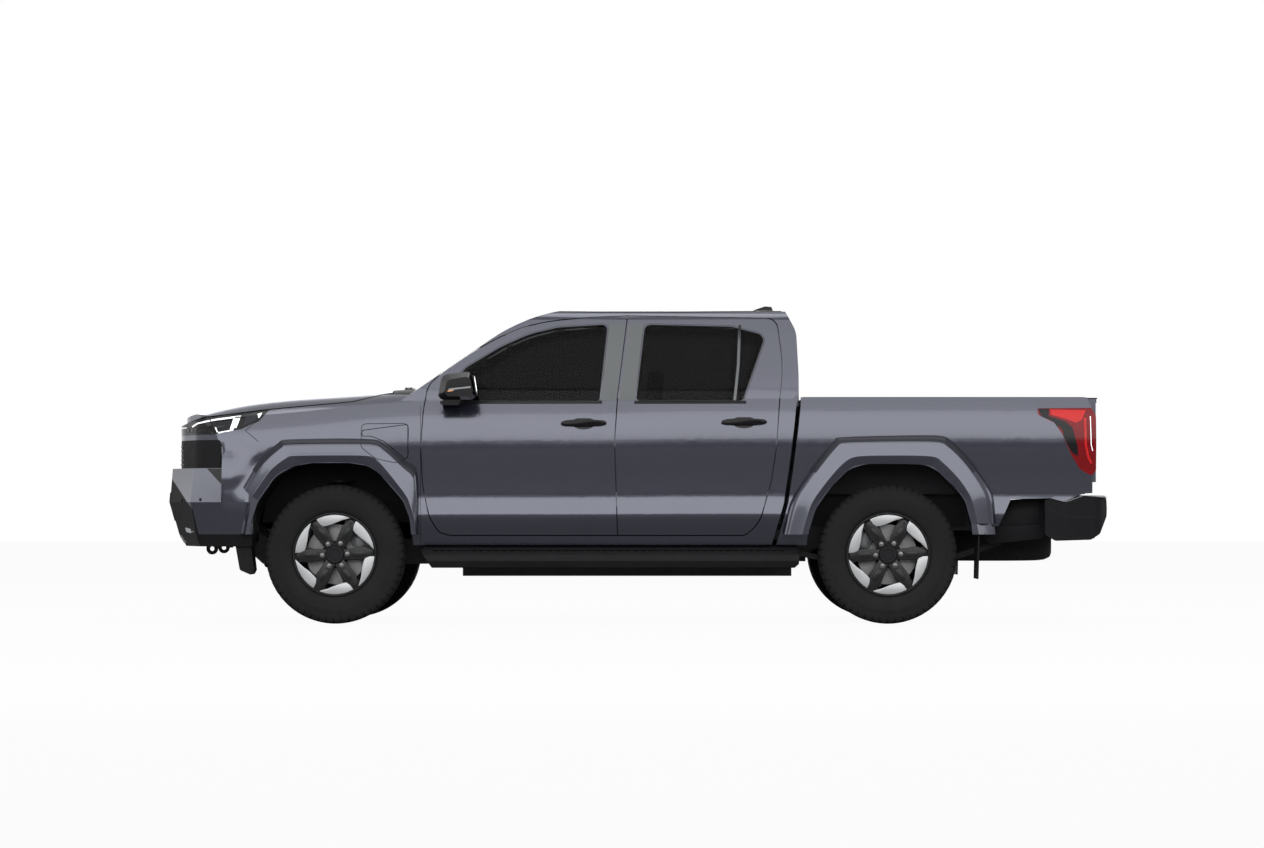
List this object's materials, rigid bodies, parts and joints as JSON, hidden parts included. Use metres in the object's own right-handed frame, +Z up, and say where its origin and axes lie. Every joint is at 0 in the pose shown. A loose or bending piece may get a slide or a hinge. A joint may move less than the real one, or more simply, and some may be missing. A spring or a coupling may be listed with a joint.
{
  "type": "pickup truck",
  "caption": "Double-cab pickup truck with opening doors, bonnet, tailgate and charge flap, steered front wheels, and an open load bed.",
  "frame": {"origin": "on the ground under the middle of the length and width", "axes": "+Z up, -X the way the truck faces, -Y its left side"},
  "size_m": [5.32, 2.17, 1.8146],
  "materials": {
    "paint": "metallic clear coat",
    "black_plastic": "satin moulded",
    "tinted_glass": "tinted",
    "lamp_clear": "lamp cover",
    "lamp_red": "lamp lens",
    "gloss_black": "gloss",
    "bed_liner": "textured",
    "frame_steel": "black coated",
    "drive_alloy": "cast",
    "wheel_alloy": "dark painted",
    "tyre": "moulded rubber",
    "seat_fabric": "woven"
  },
  "bodies": {
    "chassis": {"arch_liners": "black_plastic", "battery_pack": "drive_alloy", "bed_side_left": "paint", "bed_side_right": "paint", "bed_tub": "bed_liner", "cab_bulkhead": "frame_steel", "cab_floor": "paint", "cab_rear_wall": "paint", "cab_side_left": "paint", "cab_side_right": "paint", "cowl": "black_plastic", "dashboard": "black_plastic", "front_bumper": "paint", "front_drive_unit": "drive_alloy", "front_seats": "seat_fabric", "front_suspension": "frame_steel", "front_wing_left": "paint", "front_wing_right": "paint", "grille": "black_plastic", "headlamps": "lamp_clear", "ladder_frame": "frame_steel", "leaf_springs": "frame_steel", "rear_axle": "frame_steel", "rear_bench": "seat_fabric", "rear_bumper": "black_plastic", "rear_window": "tinted_glass", "roof_antenna": "gloss_black", "roof_panel": "paint", "running_boards": "black_plastic", "spare_wheel": "tyre", "steering_wheel": "gloss_black", "tail_lamps": "lamp_red", "tow_eyes": "frame_steel", "windscreen": "tinted_glass"},
    "door_front_left": {"front_door_left": "paint", "front_glass_left": "tinted_glass", "mirror_left": "gloss_black"},
    "door_front_right": {"front_door_right": "paint", "front_glass_right": "tinted_glass", "mirror_right": "gloss_black"},
    "door_rear_left": {"rear_door_left": "paint", "rear_glass_left": "tinted_glass"},
    "door_rear_right": {"rear_door_right": "paint", "rear_glass_right": "tinted_glass"},
    "bonnet_lid": {"bonnet": "paint"},
    "rear_gate": {"tailgate": "paint"},
    "charge_cover": {"charge_flap": "paint"},
    "steer_left": {"knuckle_left": "frame_steel"},
    "steer_right": {"knuckle_right": "frame_steel"},
    "wheel_front_left": {"front_wheel_left": "wheel_alloy", "front_tyre_left": "tyre"},
    "wheel_front_right": {"front_wheel_right": "wheel_alloy", "front_tyre_right": "tyre"},
    "wheel_rear_left": {"rear_wheel_left": "wheel_alloy", "rear_tyre_left": "tyre"},
    "wheel_rear_right": {"rear_wheel_right": "wheel_alloy", "rear_tyre_right": "tyre"}
  },
  "joints": [
    {"name": "front_door_left_hinge", "type": "hinge", "parent": "chassis", "child": "door_front_left", "pos_m": [-1.173, -0.893, 0.85], "axis": [0, 0, -1], "range_deg": [0, 65]},
    {"name": "rear_door_left_hinge", "type": "hinge", "parent": "chassis", "child": "door_rear_left", "pos_m": [-0.092, -0.894, 0.85], "axis": [0, 0, -1], "range_deg": [0, 65]},
    {"name": "steer_left_kingpin", "type": "hinge", "parent": "chassis", "child": "steer_left", "pos_m": [-1.655, -0.7, 0.388], "axis": [0, 0, 1], "range_deg": [-32, 32]},
    {"name": "front_wheel_left_spin", "type": "hinge", "parent": "steer_left", "child": "wheel_front_left", "pos_m": [-1.655, -0.768, 0.388], "axis": [0, 1, 0], "continuous": true},
    {"name": "rear_wheel_left_spin", "type": "hinge", "parent": "chassis", "child": "wheel_rear_left", "pos_m": [1.43, -0.768, 0.388], "axis": [0, 1, 0], "continuous": true},
    {"name": "front_door_right_hinge", "type": "hinge", "parent": "chassis", "child": "door_front_right", "pos_m": [-1.173, 0.893, 0.85], "axis": [0, 0, 1], "range_deg": [0, 65]},
    {"name": "rear_door_right_hinge", "type": "hinge", "parent": "chassis", "child": "door_rear_right", "pos_m": [-0.092, 0.894, 0.85], "axis": [0, 0, 1], "range_deg": [0, 65]},
    {"name": "steer_right_kingpin", "type": "hinge", "parent": "chassis", "child": "steer_right", "pos_m": [-1.655, 0.7, 0.388], "axis": [0, 0, 1], "range_deg": [-32, 32]},
    {"name": "front_wheel_right_spin", "type": "hinge", "parent": "steer_right", "child": "wheel_front_right", "pos_m": [-1.655, 0.768, 0.388], "axis": [0, 1, 0], "continuous": true},
    {"name": "rear_wheel_right_spin", "type": "hinge", "parent": "chassis", "child": "wheel_rear_right", "pos_m": [1.43, 0.768, 0.388], "axis": [0, 1, 0], "continuous": true},
    {"name": "bonnet_hinge", "type": "hinge", "parent": "chassis", "child": "bonnet_lid", "pos_m": [-1.348, 0, 1.318], "axis": [0, 1, 0], "range_deg": [0, 55]},
    {"name": "tailgate_hinge", "type": "hinge", "parent": "chassis", "child": "rear_gate", "pos_m": [2.556, 0, 0.776], "axis": [0, 1, 0], "range_deg": [0, 90]},
    {"name": "charge_flap_hinge", "type": "hinge", "parent": "chassis", "child": "charge_cover", "pos_m": [-1.503, -0.884, 1.06], "axis": [0, 0, -1], "range_deg": [0, 85]}
  ],
  "couplings": [
    {"joint": "steer_right_kingpin", "follows": "steer_left_kingpin", "ratio": 1}
  ]
}
